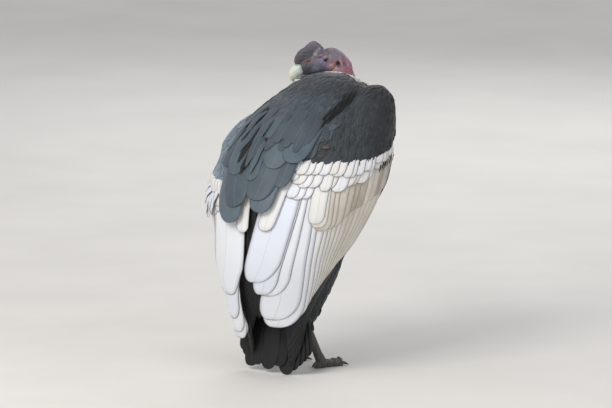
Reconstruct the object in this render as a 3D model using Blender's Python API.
"""Andean condor, adult male, life size: resting, hunched, tail down, head turned over its left shoulder.

Metres, +Z up. The bird faces -Y, its left side is +X, and it stands on the floor at z = 0.
Folded wings, mantle and tail follow one outer form, the cape: a stack of level ellipses.
A place on it is an angle round the bird (0 at the middle of the back, positive to its right),
a height, and a lift out from its surface.
"""

import math
import random

import bmesh
import bpy
from mathutils import Matrix, Vector

# Driving sizes
GAP = 0.00035
VANE_THICK = 0.0012
HEAD_TURN = 120.0
HEAD_DIP = 18.0
HEAD_PLACE = Vector((0.075, -0.0565, 0.774))
RIGHT, LEFT = 1, -1
LEFT_DROOP = 0.68
LEFT_DROP = 0.020
SEED = 7

# Rows of the cape: height, middle along Y, half width, half depth
CAPE = (
    (0.00, 0.276, 0.098, 0.058),
    (0.08, 0.276, 0.104, 0.063),
    (0.16, 0.280, 0.118, 0.079),
    (0.29, 0.257, 0.172, 0.142),
    (0.38, 0.222, 0.208, 0.180),
    (0.47, 0.185, 0.234, 0.196),
    (0.56, 0.130, 0.228, 0.192),
    (0.64, 0.075, 0.208, 0.175),
    (0.70, 0.035, 0.192, 0.155),
    (0.77, 0.000, 0.176, 0.128),
)

# Colours, linear: base colour, roughness
COLOURS = {
    "black_feather": ((0.022, 0.026, 0.030), 0.62),
    "white_feather": ((0.72, 0.71, 0.68), 0.7),
    "ruff_down": ((0.86, 0.85, 0.82), 0.85),
    "neck_skin": ((0.36, 0.10, 0.10), 0.5),
    "head_skin": ((0.12, 0.06, 0.07), 0.5),
    "comb_skin": ((0.055, 0.045, 0.05), 0.5),
    "bill_horn": ((0.72, 0.70, 0.58), 0.35),
    "eye": ((0.03, 0.012, 0.006), 0.08),
    "leg_skin": ((0.10, 0.10, 0.105), 0.55),
    "claw_horn": ((0.03, 0.028, 0.026), 0.4),
}


def along(rows, at):
    """The values of a table of rows at the key `at`, on a smooth curve through them."""
    rising = rows[0][0] < rows[-1][0]
    rows = rows if rising else rows[::-1]
    at = min(max(at, rows[0][0]), rows[-1][0])
    last = len(rows) - 1
    k = next(i for i in range(last) if at <= rows[i + 1][0])
    before, low, high, after = (rows[min(max(k + j, 0), last)] for j in (-1, 0, 1, 2))
    span = high[0] - low[0]
    t = (at - low[0]) / span
    values = []
    for c in range(1, len(low)):
        rise_in = span * (high[c] - before[c]) / (high[0] - before[0])
        rise_out = span * (after[c] - low[c]) / (after[0] - low[0])
        values.append(
            low[c] * (2 * t**3 - 3 * t**2 + 1)
            + rise_in * (t**3 - 2 * t**2 + t)
            + high[c] * (3 * t**2 - 2 * t**3)
            + rise_out * (t**3 - t**2)
        )
    return values


def ease(t):
    """0 to 1 smoothly as t goes from 0 to 1."""
    t = min(max(t, 0.0), 1.0)
    return t * t * (3 - 2 * t)


def cape_point(angle, z, lift):
    """The point of the cape at an angle in degrees and a height, raised out of it by lift."""
    middle, half_width, half_depth = along(CAPE, z)
    s, c = math.sin(math.radians(angle)), math.cos(math.radians(angle))
    outward = Vector((-s / half_width, c / half_depth, 0)).normalized()
    return Vector((-half_width * s, middle + half_depth * c, z)) + lift * outward


def cape_reach(angle, z):
    """Metres along the cape for each degree of angle."""
    step = cape_point(angle + 1, z, 0) - cape_point(angle - 1, z, 0)
    return step.length / 2


def material(name):
    """The Principled BSDF material of that name."""
    found = bpy.data.materials.get(name)
    if found:
        return found
    colour, rough = COLOURS[name]
    made = bpy.data.materials.new(name)
    made.use_nodes = True
    shader = made.node_tree.nodes["Principled BSDF"]
    shader.inputs["Base Color"].default_value = (*colour, 1)
    shader.inputs["Roughness"].default_value = rough
    made.diffuse_color = (*colour, 1)
    return made


def keep(bm, name, look=None):
    """An object made from the bmesh, with its faces turned outwards."""
    bmesh.ops.recalc_face_normals(bm, faces=bm.faces[:])
    mesh = bpy.data.meshes.new(name)
    bm.to_mesh(mesh)
    bm.free()
    made = bpy.data.objects.new(name, mesh)
    bpy.context.scene.collection.objects.link(made)
    if look:
        mesh.materials.append(material(look))
    return made


def loft(name, rings, look=None, ladder=False):
    """A closed body through rings of points, each end closed by a fan, or by a ladder across it.

    What would pass through the floor is pressed flat on it.
    """
    bm = bmesh.new()
    loops = [[bm.verts.new((p.x, p.y, max(p.z, 0.0))) for p in ring] for ring in rings]
    count = len(rings[0])
    for low, high in zip(loops, loops[1:]):
        for i in range(count):
            j = (i + 1) % count
            bm.faces.new((low[i], low[j], high[j]))
            bm.faces.new((low[i], high[j], high[i]))
    for loop in (loops[0], loops[-1]):
        if ladder:
            bm.faces.new((loop[0], loop[1], loop[-1]))
            bm.faces.new((loop[count // 2], loop[count // 2 - 1], loop[count // 2 + 1]))
            for i in range(1, count // 2 - 1):
                bm.faces.new((loop[i], loop[i + 1], loop[count - i]))
                bm.faces.new((loop[i + 1], loop[count - i - 1], loop[count - i]))
        else:
            pole = bm.verts.new(sum((v.co for v in loop), Vector()) / count)
            for i in range(count):
                bm.faces.new((loop[i], loop[(i + 1) % count], pole))
    return keep(bm, name, look)


def oval(middle, across, up, count, power=1.0):
    """A ring of points round a middle. Power under 1 squares it off."""
    ring = []
    for i in range(count):
        turn = 2 * math.pi * i / count
        c, s = math.cos(turn), math.sin(turn)
        c, s = (math.copysign(abs(v) ** power, v) for v in (c, s))
        ring.append(middle + across * c + up * s)
    return ring


def spine_loft(name, rows, count, look=None, side=Vector((1, 0, 0)), rings=None):
    """A loft along a bent line. A row is key, x, y, z, half size along side, half size across it."""
    keys = [row[0] for row in rows]
    steps = rings or len(rows)
    places = [along(rows, keys[0] + (keys[-1] - keys[0]) * k / (steps - 1)) for k in range(steps)]
    made = []
    for k, (x, y, z, wide, deep) in enumerate(places):
        back, front = places[max(k - 1, 0)], places[min(k + 1, steps - 1)]
        way = (Vector(front[:3]) - Vector(back[:3])).normalized()
        other = way.cross(side).normalized()
        flat = other.cross(way).normalized()
        made.append(oval(Vector((x, y, z)), flat * wide, other * deep, count))
    return loft(name, made, look)


def slab(name, rows, place, rings, count, look=None, power=0.8):
    """A closed pad on the cape. A row is height, middle angle, half angle, middle lift, half lift."""
    top, bottom = rows[0][0], rows[-1][0]
    made = []
    for k in range(rings):
        t = k / (rings - 1)
        z = top + (bottom - top) * (t + 0.35 * math.sin(2 * math.pi * t) / (-2 * math.pi))
        angle, half_angle, lift, half_lift = along(rows, z)
        ring = []
        for i in range(count):
            turn = 2 * math.pi * i / count
            c, s = math.cos(turn), math.sin(turn)
            c, s = (math.copysign(abs(v) ** power, v) for v in (c, s))
            ring.append(place(angle + half_angle * c, z, lift + half_lift * s))
        made.append(ring)
    return loft(name, made, look, ladder=True)


# Heights that the feathers of the cape share, so that one lies flat on the next
LEVELS = tuple(0.09 * k for k in range(9))
# The round end of a vane: metres from its tip, share of its full width
ROUND_END = ((0.030, 0.92), (0.011, 0.66), (0.0, 0.24))
POINTED_END = ((0.060, 0.80), (0.020, 0.42), (0.0, 0.12))


def vane(name, rows):
    """One feather vane as a thin closed plate, split into triangles alike on both faces.

    A row holds the points above and below its left edge, its shaft and its right edge.
    """
    bm = bmesh.new()
    rows = [[bm.verts.new(p) for p in row] for row in rows]
    for low, high in zip(rows, rows[1:]):
        for side in (0, 2):
            for face in (0, 1):
                a, b = side + face, side + 2 + face
                bm.faces.new((low[a], low[b], high[b]))
                bm.faces.new((low[a], high[b], high[a]))
        for edge in (0, 4):
            bm.faces.new((low[edge], low[edge + 1], high[edge + 1]))
            bm.faces.new((low[edge], high[edge + 1], high[edge]))
    for row in (rows[0], rows[-1]):
        for side in (0, 2):
            bm.faces.new((row[side], row[side + 1], row[side + 3]))
            bm.faces.new((row[side], row[side + 3], row[side + 2]))
    return keep(bm, name)


def vane_rows(root, tip, place, end=ROUND_END, half=1.0, levels=LEVELS):
    """Rows of a vane from its root height down to its tip height.

    place(height, share across from -1 to 1, metres up) is a point of it.
    """
    cuts = [(root, 0.60)]
    cuts += [(z, 1.0) for z in reversed(levels) if tip + end[0][0] + 0.02 < z < root - 0.02]
    cuts += [(tip + away, part) for away, part in end]
    rows = []
    for z, part in cuts:
        row = []
        for across in (-part * half, 0.0, part * half):
            row.append(place(z, across, VANE_THICK / 2))
            row.append(place(z, across, -VANE_THICK / 2))
        rows.append(row)
    return rows


def tier(name, side, count, roots, tips, spread, lift, pitch, end=ROUND_END, half=1.0, reverse=False):
    """A row of vanes that lie like shingles on the cape, the innermost on top.

    roots and tips give each vane's heights as functions of its number.
    spread has rows of height, angle of vane 0, degrees from one vane to the next.
    A vane reaches `half` of that to either side of its shaft.
    lift has rows of height, lift of the row, and pitch is the rise from a vane to the one over it.
    """
    made = []
    for i in range(count):

        def place(z, across, up, i=i):
            start, step = along(spread, z)
            angle = start + (i + across) * step
            rise = -pitch * across if reverse else pitch * across
            return cape_point(side * angle, z, along(lift, z)[0] + rise + up)

        made.append(vane(f"{name}_{i}", vane_rows(roots(i), tips(i), place, end, half)))
    return made


def evaluated_copy(obj):
    """The object's mesh with its modifiers applied, as plain data."""
    graph = bpy.context.evaluated_depsgraph_get()
    return bpy.data.meshes.new_from_object(obj.evaluated_get(graph), depsgraph=graph)


def largest_shell(mesh):
    """Keeps only the closed surface that holds the most."""
    bm = bmesh.new()
    bm.from_mesh(mesh)
    left, shells = set(bm.verts), []
    while left:
        found, edge = set(), [left.pop()]
        while edge:
            v = edge.pop()
            found.add(v)
            near = {e.other_vert(v) for e in v.link_edges} - found
            edge.extend(near & left)
            left -= near
        shells.append(found)
    if len(shells) > 1:

        def held(shell):
            faces = {f for v in shell for f in v.link_faces}
            return abs(sum(f.calc_center_median().dot(f.normal) * f.calc_area() for f in faces))

        best = max(shells, key=held)
        extra = [v for shell in shells if shell is not best for v in shell]
        bmesh.ops.delete(bm, geom=extra, context="VERTS")
    bmesh.ops.triangulate(bm, faces=bm.faces[:])
    bm.to_mesh(mesh)
    bm.free()


def boolean(obj, others, operation, solver="MANIFOLD"):
    """Joins the others to obj, or cuts them from it, then removes them."""
    helper = bpy.data.collections.new("pieces")
    bpy.context.scene.collection.children.link(helper)
    for other in others:
        helper.objects.link(other)
    step = obj.modifiers.new("join", "BOOLEAN")
    step.operand_type = "COLLECTION"
    step.collection = helper
    step.operation = operation
    step.solver = solver
    mesh = evaluated_copy(obj)
    look = obj.data.materials[0] if obj.data.materials else None
    obj.modifiers.remove(step)
    largest_shell(mesh)
    mesh.materials.clear()
    if look:
        mesh.materials.append(look)
    obj.data = mesh
    for other in others:
        bpy.data.objects.remove(other)
    bpy.data.collections.remove(helper)
    return obj


def join(obj, others):
    """obj and the others as one body."""
    return boolean(obj, others, "UNION") if others else obj


def grown(obj, by=GAP):
    """A copy of obj with its surface moved out, to cut a neighbour clear of it."""
    copy = obj.copy()
    copy.data = obj.data.copy()
    bpy.context.scene.collection.objects.link(copy)
    bm = bmesh.new()
    bm.from_mesh(copy.data)
    bmesh.ops.triangulate(bm, faces=bm.faces[:])
    bm.normal_update()
    for v, way in [(v, v.normal.copy()) for v in bm.verts]:
        v.co += way * by
    bm.to_mesh(copy.data)
    bm.free()
    return copy


def cut_clear(obj, *neighbours):
    """Cuts obj back so that it meets its neighbours face to face, a hair's breadth apart."""
    for neighbour in neighbours:
        boolean(obj, [grown(neighbour)], "DIFFERENCE")
    return obj


def clear_scene():
    """Removes what the file opened with."""
    for obj in list(bpy.data.objects):
        bpy.data.objects.remove(obj)


# Torso: height, front and back of the section along Y, half width
TORSO = (
    (0.730, -0.060, 0.048, 0.032),
    (0.716, -0.090, 0.080, 0.068),
    (0.690, -0.118, 0.130, 0.108),
    (0.640, -0.141, 0.205, 0.144),
    (0.560, -0.156, 0.272, 0.160),
    (0.470, -0.132, 0.322, 0.166),
    (0.400, -0.075, 0.322, 0.150),
    (0.340, -0.025, 0.268, 0.130),
    (0.280, 0.030, 0.247, 0.108),
    (0.230, 0.078, 0.242, 0.086),
    (0.175, 0.130, 0.234, 0.062),
    (0.140, 0.165, 0.226, 0.040),
    (0.120, 0.190, 0.212, 0.016),
)


def torso():
    """Breast, belly and back as one rounded body."""
    rings = []
    steps = 15
    for k in range(steps):
        t = k / (steps - 1)
        z = TORSO[0][0] + (TORSO[-1][0] - TORSO[0][0]) * (t - 0.55 * math.sin(2 * math.pi * t) / (2 * math.pi))
        front, back, half = along(TORSO, z)
        middle = Vector((0, (front + back) / 2, z))
        rings.append(oval(middle, Vector((half, 0, 0)), Vector((0, (back - front) / 2, 0)), 22, 0.92))
    return loft("torso", rings, "black_feather")


# Wing: height, middle angle, half angle, middle lift, half lift of the arm under its small coverts
WING = (
    (0.740, 82, 3, -0.034, 0.004),
    (0.731, 82, 15, -0.034, 0.021),
    (0.709, 80, 27, -0.034, 0.034),
    (0.672, 74, 41, -0.034, 0.042),
    (0.630, 67, 53, -0.030, 0.040),
    (0.590, 62, 60, -0.019, 0.030),
    (0.558, 60, 60, -0.007, 0.020),
    (0.525, 58, 57, 0.001, 0.0105),
)
WING_EDGE_RISE = 0.045
WING_FOOT = 0.525
WRIST_BULGE = 0.010


def wing_place(side):
    """Where a point of a wing's arm goes. The left wing hangs lower than the right."""

    def place(angle, z, lift):
        low = 1 - ease((z - WING_FOOT) / 0.12)
        up = WING_EDGE_RISE * ease((angle - 45) / 70) * low
        if side == LEFT:
            z = WING_FOOT - LEFT_DROP + (z - WING_FOOT) * LEFT_DROOP
            angle = 7.5 + 0.93 * angle
        else:
            angle -= 3.5
            lift += WRIST_BULGE * ease((z - 0.56) / 0.07) * ease((0.745 - z) / 0.06)
        return cape_point(side * angle, z + up, lift)

    return place


SECONDARY_SPREAD = {
    RIGHT: ((0.60, 9, 9.6), (0.38, 9, 9.8), (0.25, 11, 11), (0.15, 17, 13), (0.0, 17, 13)),
    LEFT: ((0.60, 19, 9.4), (0.38, 19, 9.4), (0.25, 24, 10.6), (0.15, 28, 12.4), (0.0, 28, 12.4)),
}
SECONDARY_LIFT = {
    RIGHT: ((0.60, -0.006), (0.50, -0.002), (0.0, 0.0)),
    LEFT: ((0.60, -0.006), (0.50, -0.002), (0.36, 0.0), (0.20, 0.012), (0.0, 0.014)),
}
# Height of each secondary's tip, innermost first
SECONDARY_TIPS = {
    RIGHT: (0.264, 0.228, 0.163, 0.142, 0.140, 0.152, 0.175, 0.205, 0.240, 0.285),
    LEFT: (0.236, 0.196, 0.141, 0.108, 0.094, 0.106, 0.138, 0.180, 0.235),
}
COVERT_LIFT = ((0.60, -0.002), (0.555, 0.001), (0.52, 0.0060), (0.40, 0.0062))


def edge_rise(i, count):
    """How much higher the outer vanes of a row start, as the wing's edge does."""
    return WING_EDGE_RISE * ease((i / (count - 1) - 0.35) / 0.65)


def wing(side):
    """The arm with its small coverts."""
    label = "right" if side == RIGHT else "left"
    return slab(f"wing_{label}", WING, wing_place(side), 10, 20, "white_feather")


def wing_vanes(side, plain):
    """The secondaries and the greater coverts over them, that grow from the arm."""
    drop = 0.0 if side == RIGHT else LEFT_DROP
    ends = SECONDARY_TIPS[side]
    count = len(ends)
    made = tier(
        "secondary", side, count,
        roots=lambda i: 0.566 + edge_rise(i, count) - drop,
        tips=lambda i: ends[i],
        spread=SECONDARY_SPREAD[side], lift=SECONDARY_LIFT[side], pitch=0.0018,
    )
    if plain:
        return made
    chooser = random.Random(SEED + side)
    slips = [chooser.uniform(-0.006, 0.006) for _ in range(count)]
    made += tier(
        "covert", side, count,
        roots=lambda i: 0.562 + edge_rise(i, count) - drop,
        tips=lambda i: 0.468 + slips[i] + 1.1 * edge_rise(i, count) - drop,
        spread=[(z, start + 0.5 * step, step) for z, start, step in SECONDARY_SPREAD[side]],
        lift=COVERT_LIFT, pitch=0.0018,
    )
    return made


HAND = (
    (0.640, 100, 8, -0.040, 0.010),
    (0.600, 100, 18, -0.036, 0.017),
    (0.540, 100, 22, -0.031, 0.016),
    (0.480, 99, 22, -0.026, 0.012),
    (0.440, 98, 20, -0.023, 0.008),
)
PRIMARY_SPREAD = ((0.60, 86, 5), (0.45, 84, 6), (0.30, 66, 9), (0.15, 32, 11), (0.03, 14, 8), (0.0, 14, 8))
PRIMARY_LIFT = ((0.60, -0.028), (0.45, -0.023), (0.36, -0.018), (0.0, -0.017))
PRIMARY_TIPS = (0.170, 0.125, 0.090, 0.058, 0.030, 0.022)


def hand(side):
    """The hand along the wing's front edge."""
    label = "right" if side == RIGHT else "left"
    return slab(f"hand_{label}", HAND, lambda a, z, lift: cape_point(side * a, z, lift), 7, 14, "black_feather")


def hand_vanes(side):
    """The primaries, stacked under the secondaries, their tips beside the tail."""
    return tier(
        "primary", side, len(PRIMARY_TIPS),
        roots=lambda i: 0.490,
        tips=lambda i: PRIMARY_TIPS[i] + (0.0 if side == RIGHT else 0.022),
        spread=PRIMARY_SPREAD, lift=PRIMARY_LIFT, pitch=0.0024, end=POINTED_END,
    )


MANTLE = (
    (0.757, 2, 9, -0.088, 0.010),
    (0.747, 10, 27, -0.074, 0.034),
    (0.722, 13, 44, -0.055, 0.047),
    (0.690, 5, 46, -0.038, 0.050),
    (0.650, -6, 44, -0.022, 0.045),
    (0.600, -11, 43, -0.006, 0.031),
    (0.565, -12, 44, 0.006, 0.020),
    (0.530, -12, 45, 0.0135, 0.0115),
)


def mantle():
    """The upper back: the hump behind the neck and the cape of small feathers below it."""
    return slab("mantle", MANTLE, cape_point, 11, 20, "black_feather")


SCAPULAR_SPREAD = {RIGHT: ((0.62, 7, 10.5), (0.40, 10, 10.5)), LEFT: ((0.62, 12, 12.5), (0.40, 19, 12.5))}
SCAPULAR_TIPS = {RIGHT: (0.440, 0.474), LEFT: (0.402, 0.434, 0.470)}
SCAPULAR_LIFT = ((0.62, 0.004), (0.57, 0.011), (0.53, 0.0165), (0.38, 0.0165))


def scapulars(side):
    """Long dark shoulder feathers that lie over the inner part of a wing."""
    ends = SCAPULAR_TIPS[side]
    return tier(
        "scapular", side, len(ends),
        roots=lambda i: 0.575,
        tips=lambda i: ends[i],
        spread=SCAPULAR_SPREAD[side], lift=SCAPULAR_LIFT, pitch=0.0018,
    )


def tail():
    """The rump with twelve tail feathers, the middle pair on top."""
    rows = (
        (0.0, 0, 0.262, 0.330, 0.052, 0.026),
        (0.4, 0, 0.272, 0.290, 0.050, 0.024),
        (0.8, 0, 0.274, 0.250, 0.046, 0.019),
        (1.0, 0, 0.275, 0.225, 0.043, 0.016),
    )
    made = spine_loft("tail", rows, 16, "black_feather", rings=6)
    return made


TAIL_ROOT, TAIL_TIP_SPREAD, TAIL_ROOT_SPREAD = 0.275, 0.0155, 0.0050
TAIL_TOP, TAIL_PITCH = 0.2840, 0.0019


def tail_vanes():
    """Tail feathers, fanned out towards their tips on the floor, each under the one before it."""
    made = []
    for i in range(6):
        for side in (RIGHT, LEFT):
            layer = 2 * i + (side == LEFT)
            tip = 0.0 if i < 2 else 0.011 * (i - 1)

            def place(z, across, up, side=side, i=i, layer=layer):
                share = 1 - z / TAIL_ROOT
                step = TAIL_ROOT_SPREAD + (TAIL_TIP_SPREAD - TAIL_ROOT_SPREAD) * share
                x = -side * (i + 0.5) * step - side * across
                y = TAIL_TOP + 0.024 * share**3 - TAIL_PITCH * layer + up
                return Vector((x, y, z))

            rows = vane_rows(TAIL_ROOT, tip, place, half=0.026)
            made.append(vane(f"tail_feather_{side}_{i}", rows))
    return made


def head_axes():
    """Forward, left and up of the turned head."""
    turn, dip = math.radians(HEAD_TURN), math.radians(HEAD_DIP)
    forward = Vector((math.sin(turn) * math.cos(dip), -math.cos(turn) * math.cos(dip), -math.sin(dip)))
    left = Vector((0, 0, 1)).cross(forward).normalized()
    return forward, left, forward.cross(left)


def head_place(forward, left, up):
    """A point of the head: forward, left and up of the point between the eyes."""
    f, s, u = head_axes()
    return HEAD_PLACE + f * forward + s * left + u * up


def head_loft(name, rows, count, look, rings, power=1.0):
    """A loft along the head. A row is forward, up, half width, half height."""
    f, s, u = head_axes()
    made = []
    start, end = rows[0][0], rows[-1][0]
    for k in range(rings):
        t = k / (rings - 1)
        at = start + (end - start) * (t - 0.5 * math.sin(2 * math.pi * t) / (2 * math.pi))
        height, wide, tall = along(rows, at)
        made.append(oval(head_place(at, 0, height), s * wide, u * tall, count, power))
    return loft(name, made, look)


SKULL = (
    (-0.064, -0.032, 0.007, 0.007),
    (-0.056, -0.029, 0.021, 0.021),
    (-0.040, -0.018, 0.029, 0.031),
    (-0.018, -0.010, 0.0325, 0.033),
    (0.004, -0.009, 0.0325, 0.031),
    (0.026, -0.011, 0.028, 0.028),
    (0.046, -0.010, 0.0225, 0.0255),
    (0.062, -0.009, 0.0185, 0.0225),
    (0.070, -0.009, 0.0165, 0.0190),
    (0.074, -0.009, 0.0080, 0.0100),
)
JAW, LID, EAR, NOSTRIL = -0.027, 0.0088, (-0.027, -0.022), (0.0485, 0.0065)
EYE_OUT = 0.0262


def bulb(name, middle, axes):
    """An egg shape round a middle, with its three half axes."""
    bm = bmesh.new()
    bmesh.ops.create_icosphere(bm, subdivisions=2, radius=1.0)
    for v in bm.verts:
        v.co = middle + axes[0] * v.co.x + axes[1] * v.co.y + axes[2] * v.co.z
    return keep(bm, name)


def lid(side):
    """The ring of skin round an eye."""
    f, s, u = head_axes()
    bm = bmesh.new()
    rings = []
    for i in range(12):
        turn = 2 * math.pi * i / 12
        out = f * math.cos(turn) + u * math.sin(turn) * 0.86
        middle = head_place(0.0, side * (EYE_OUT + 0.0042), 0.0) + out * LID
        rings.append([bm.verts.new(middle + out * 0.0026 * math.cos(a) + s * 0.0030 * math.sin(a))
                      for a in (2 * math.pi * j / 6 for j in range(6))])
    for i in range(12):
        here, there = rings[i], rings[(i + 1) % 12]
        for j in range(6):
            k = (j + 1) % 6
            bm.faces.new((here[j], here[k], there[k], there[j]))
    return keep(bm, "lid")


def mouth_cutter(side):
    """A thin wedge along one side of the jaw."""
    f, s, u = head_axes()
    rings = []
    for ahead in (0.004, 0.020, 0.036, 0.052, 0.068, 0.080):
        height, wide, tall = along(SKULL, min(ahead, 0.070))
        edge = wide * math.sqrt(max(1 - ((JAW - height) / tall) ** 2, 0.05))
        rings.append([
            head_place(ahead, side * (edge - 0.0024), JAW),
            head_place(ahead, side * (edge + 0.0060), JAW + 0.0022),
            head_place(ahead, side * (edge + 0.0060), JAW - 0.0022),
        ])
    return loft("mouth", rings)


def face(skull):
    """Lids, ear cups, nostrils, the line of the mouth, and the folds and wattles of bare skin."""
    f, s, u = head_axes()
    added, cut = [], []
    for side in (1, -1):
        added.append(lid(side))
        added.append(bulb("brow", head_place(0.004, side * 0.0255, 0.0135), (f * 0.016, s * 0.0065, u * 0.0042)))
        added.append(bulb("fold", head_place(-0.047, side * 0.021, -0.036), (f * 0.006, s * 0.008, u * 0.020)))
        added.append(bulb("fold", head_place(-0.036, side * 0.026, -0.030), (f * 0.0045, s * 0.006, u * 0.018)))
        cut.append(bulb("ear", head_place(EAR[0], side * 0.0315, EAR[1]), (f * 0.0045, s * 0.0055, u * 0.0065)))
        cut.append(mouth_cutter(side))
    cut.append(bulb("nostril", head_place(NOSTRIL[0], 0, NOSTRIL[1]), (f * 0.0052, s * 0.060, u * 0.0026)))
    added.append(bulb("wattle", head_place(0.030, 0, -0.043), (f * 0.022, s * 0.0050, u * 0.014)))
    join(skull, added)
    return boolean(skull, cut, "DIFFERENCE")


def head():
    """The bare head: skull, cere and jaw skin."""
    return face(head_loft("head", SKULL, 20, "head_skin", 14))


def bill():
    """The hooked upper bill and the lower bill."""
    f, s, u = head_axes()
    upper_rows = (
        (0.0, 0.064, -0.008, 0.0155, 0.0135),
        (0.2, 0.076, -0.008, 0.0160, 0.0165),
        (0.45, 0.089, -0.012, 0.0140, 0.0165),
        (0.7, 0.099, -0.022, 0.0100, 0.0130),
        (0.88, 0.104, -0.033, 0.0055, 0.0065),
        (1.0, 0.1025, -0.043, 0.0015, 0.0020),
    )
    lower_rows = (
        (0.0, 0.030, -0.036, 0.0110, 0.0050),
        (0.4, 0.058, -0.034, 0.0115, 0.0060),
        (0.8, 0.083, -0.031, 0.0095, 0.0065),
        (1.0, 0.096, -0.030, 0.0040, 0.0035),
    )
    made = []
    for name, rows, rings in (("bill_upper", upper_rows, 9), ("bill_lower", lower_rows, 6)):
        places = [along(rows, k / (rings - 1)) for k in range(rings)]
        loops = []
        for k, (ahead, up, wide, tall) in enumerate(places):
            back, front = places[max(k - 1, 0)], places[min(k + 1, rings - 1)]
            way = (f * (front[0] - back[0]) + u * (front[1] - back[1])).normalized()
            other = way.cross(s).normalized()
            loops.append(oval(head_place(ahead, 0, up), s * wide, other * tall, 14))
        made.append(loft(name, loops, "bill_horn"))
    return made


COMB = (
    (0.085, 0.010, 0.0040, 0.006),
    (0.080, 0.012, 0.0090, 0.014),
    (0.066, 0.016, 0.0115, 0.021),
    (0.050, 0.019, 0.0110, 0.0235),
    (0.030, 0.025, 0.0100, 0.0265),
    (0.017, 0.026, 0.0090, 0.0245),
    (0.008, 0.026, 0.0070, 0.0150),
    (0.002, 0.022, 0.0030, 0.0050),
)


def comb():
    """The fleshy comb on the forehead."""
    return head_loft("comb", COMB, 16, "comb_skin", 11)


def eyes():
    """The two eyeballs."""
    made = []
    for name, side in (("eye_left", 1), ("eye_right", -1)):
        bm = bmesh.new()
        bmesh.ops.create_icosphere(bm, subdivisions=2, radius=0.0085)
        bmesh.ops.translate(bm, verts=bm.verts[:], vec=head_place(0.0, side * EYE_OUT, 0.0))
        made.append(keep(bm, name, "eye"))
    return made


NECK = (
    (0.0, 0.008, -0.050, 0.660, 0.044, 0.044),
    (0.3, 0.014, -0.062, 0.695, 0.040, 0.040),
    (0.6, 0.026, -0.070, 0.727, 0.035, 0.035),
    (0.85, 0.040, -0.072, 0.752, 0.029, 0.029),
    (1.0, 0.048, -0.070, 0.764, 0.020, 0.020),
)
RUFF_MIDDLE = Vector((0.008, -0.066, 0.696))
RUFF_WAY = Vector((0.12, -0.50, 0.86)).normalized()


def neck():
    """The short bare neck, drawn in."""
    return spine_loft("neck", NECK, 18, "neck_skin", rings=8)


def ruff():
    """The collar of white down round the foot of the neck."""
    bm = bmesh.new()
    across = RUFF_WAY.cross(Vector((1, 0, 0))).normalized()
    side = across.cross(RUFF_WAY)
    rings = []
    for i in range(24):
        turn = 2 * math.pi * i / 24
        out = side * math.cos(turn) + across * math.sin(turn)
        middle = RUFF_MIDDLE + side * 0.055 * math.cos(turn) + across * 0.064 * math.sin(turn)
        rings.append([bm.verts.new(middle + out * 0.022 * math.cos(a) + RUFF_WAY * 0.017 * math.sin(a))
                      for a in (2 * math.pi * j / 10 for j in range(10))])
    for i in range(24):
        here, there = rings[i], rings[(i + 1) % 24]
        for j in range(10):
            k = (j + 1) % 10
            bm.faces.new((here[j], here[k], there[k], there[j]))
    return keep(bm, "ruff", "ruff_down")


FOOT = Vector((0.062, 0.165, 0.0))
FOOT_TOP = 0.024
TOES = ((4.0, 0.092), (-30.0, 0.062), (36.0, 0.066), (178.0, 0.030))


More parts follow.
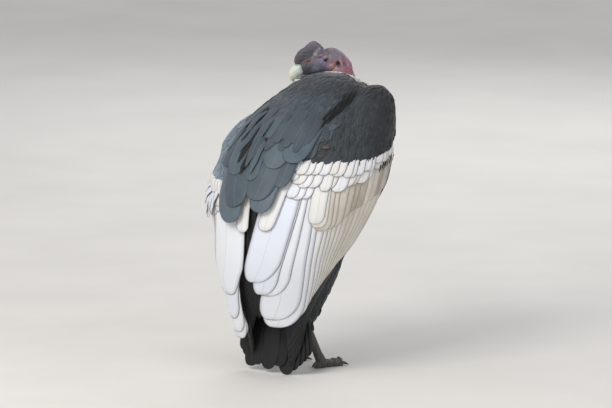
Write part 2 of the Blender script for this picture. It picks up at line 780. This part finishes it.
def leg(side):
    """Feathered thigh, scaly shank, and a foot of four toes with their claws."""
    label = "right" if side == RIGHT else "left"

    def at(x, y, z):
        return -side * x, y, z

    thigh_rows = (
        (0.0, *at(0.062, 0.110, 0.330), 0.050, 0.066),
        (0.4, *at(0.062, 0.145, 0.250), 0.042, 0.054),
        (0.75, *at(0.058, 0.190, 0.175), 0.027, 0.034),
        (1.0, *at(0.056, 0.218, 0.125), 0.017, 0.019),
    )
    shank_rows = (
        (0.0, *at(0.056, 0.225, 0.155), 0.010, 0.010),
        (0.35, *at(0.056, 0.222, 0.116), 0.0125, 0.0135),
        (0.6, *at(0.058, 0.200, 0.078), 0.0105, 0.0115),
        (1.0, *at(0.062, 0.170, FOOT_TOP), 0.0125, 0.0115),
    )
    thigh = spine_loft(f"thigh_{label}", thigh_rows, 18, "black_feather", rings=8)
    shank = spine_loft(f"shank_{label}", shank_rows, 12, "leg_skin", rings=8)
    hub_rows = (
        (0.0, *at(FOOT.x, FOOT.y + 0.008, FOOT_TOP + 0.010), 0.010, 0.010),
        (0.5, *at(FOOT.x, FOOT.y, 0.012), 0.015, 0.016),
        (1.0, *at(FOOT.x, FOOT.y - 0.004, 0.0), 0.013, 0.014),
    )
    foot = spine_loft(f"foot_{label}", hub_rows, 12, "leg_skin", rings=5)
    toes, claws = [], []
    for n, (turn, length) in enumerate(TOES):
        angle = math.radians(turn)
        way = Vector((-side * math.sin(angle) * -1, -math.cos(angle), 0))
        raise_by = 0.004 if n == 3 else 0.0
        start = Vector((-side * FOOT.x, FOOT.y, 0.010))
        loops, steps = [], 7
        across = Vector((0, 0, 1)).cross(way).normalized()
        for k in range(steps):
            t = k / (steps - 1)
            knuckle = 1 + 0.10 * math.cos(6 * math.pi * t)
            thick = (0.0105 - 0.0030 * t) * knuckle * (0.55 if k == steps - 1 else 1.0)
            middle = start + way * length * t + Vector((0, 0, 0.7 * thick - 0.010 + raise_by * t))
            loops.append(oval(middle, across * thick, Vector((0, 0, thick)), 8))
        toes.append(loft(f"toe_{n}", loops))
        end = start + way * (length - 0.004)
        claw_loops = []
        claw_length = 0.022 if n < 3 else 0.016
        for k in range(5):
            t = k / 4
            thick = 0.0052 * (1 - t) ** 0.7 + 0.0007
            middle = end + way * claw_length * t
            middle.z = 0.0085 + raise_by - 0.0065 * t**1.6
            claw_loops.append(oval(middle, across * thick * 0.8, Vector((0, 0, thick)), 6))
        claws.append(loft(f"claw_{label}_{n + 1}", claw_loops, "claw_horn"))
    join(foot, toes)
    for claw in claws:
        cut_clear(claw, foot)
    return thigh, shank, foot, claws


def stand_on_origin():
    """Moves the bird so that the middle of its base is the origin."""
    corners = [v.co for obj in bpy.data.objects for v in obj.data.vertices]
    middle = [(min(c[k] for c in corners) + max(c[k] for c in corners)) / 2 for k in (0, 1)]
    base = min(c.z for c in corners)
    for obj in bpy.data.objects:
        obj.data.transform(Matrix.Translation((-middle[0], -middle[1], -base)))


def main():
    """Builds every node of the bird."""
    plain = False
    clear_scene()
    body = torso()
    wings = {side: wing(side) for side in (RIGHT, LEFT)}
    hands = {side: hand(side) for side in (RIGHT, LEFT)}
    back = mantle()
    rump = tail()
    for side in (RIGHT, LEFT):
        cut_clear(wings[side], body)
        cut_clear(hands[side], body, wings[side])
    cut_clear(back, body, *wings.values())
    cut_clear(rump, body)
    throat = neck()
    collar = ruff()
    cut_clear(throat, body, back)
    skull = head()
    cut_clear(skull, throat)
    crest = comb()
    cut_clear(crest, skull)
    upper, lower = bill()
    cut_clear(upper, skull, crest)
    cut_clear(lower, skull, upper)
    for ball in eyes():
        cut_clear(skull, ball)
    cut_clear(collar, body, back, throat, skull)
    for side in (RIGHT, LEFT):
        thigh, shank, foot, claws = leg(side)
        cut_clear(thigh, body)
        cut_clear(shank, thigh)
        cut_clear(foot, shank)
    for side in (RIGHT, LEFT):
        join(wings[side], wing_vanes(side, plain))
        join(hands[side], hand_vanes(side))
    join(back, scapulars(RIGHT) + scapulars(LEFT))
    join(rump, tail_vanes())
    stand_on_origin()


main()
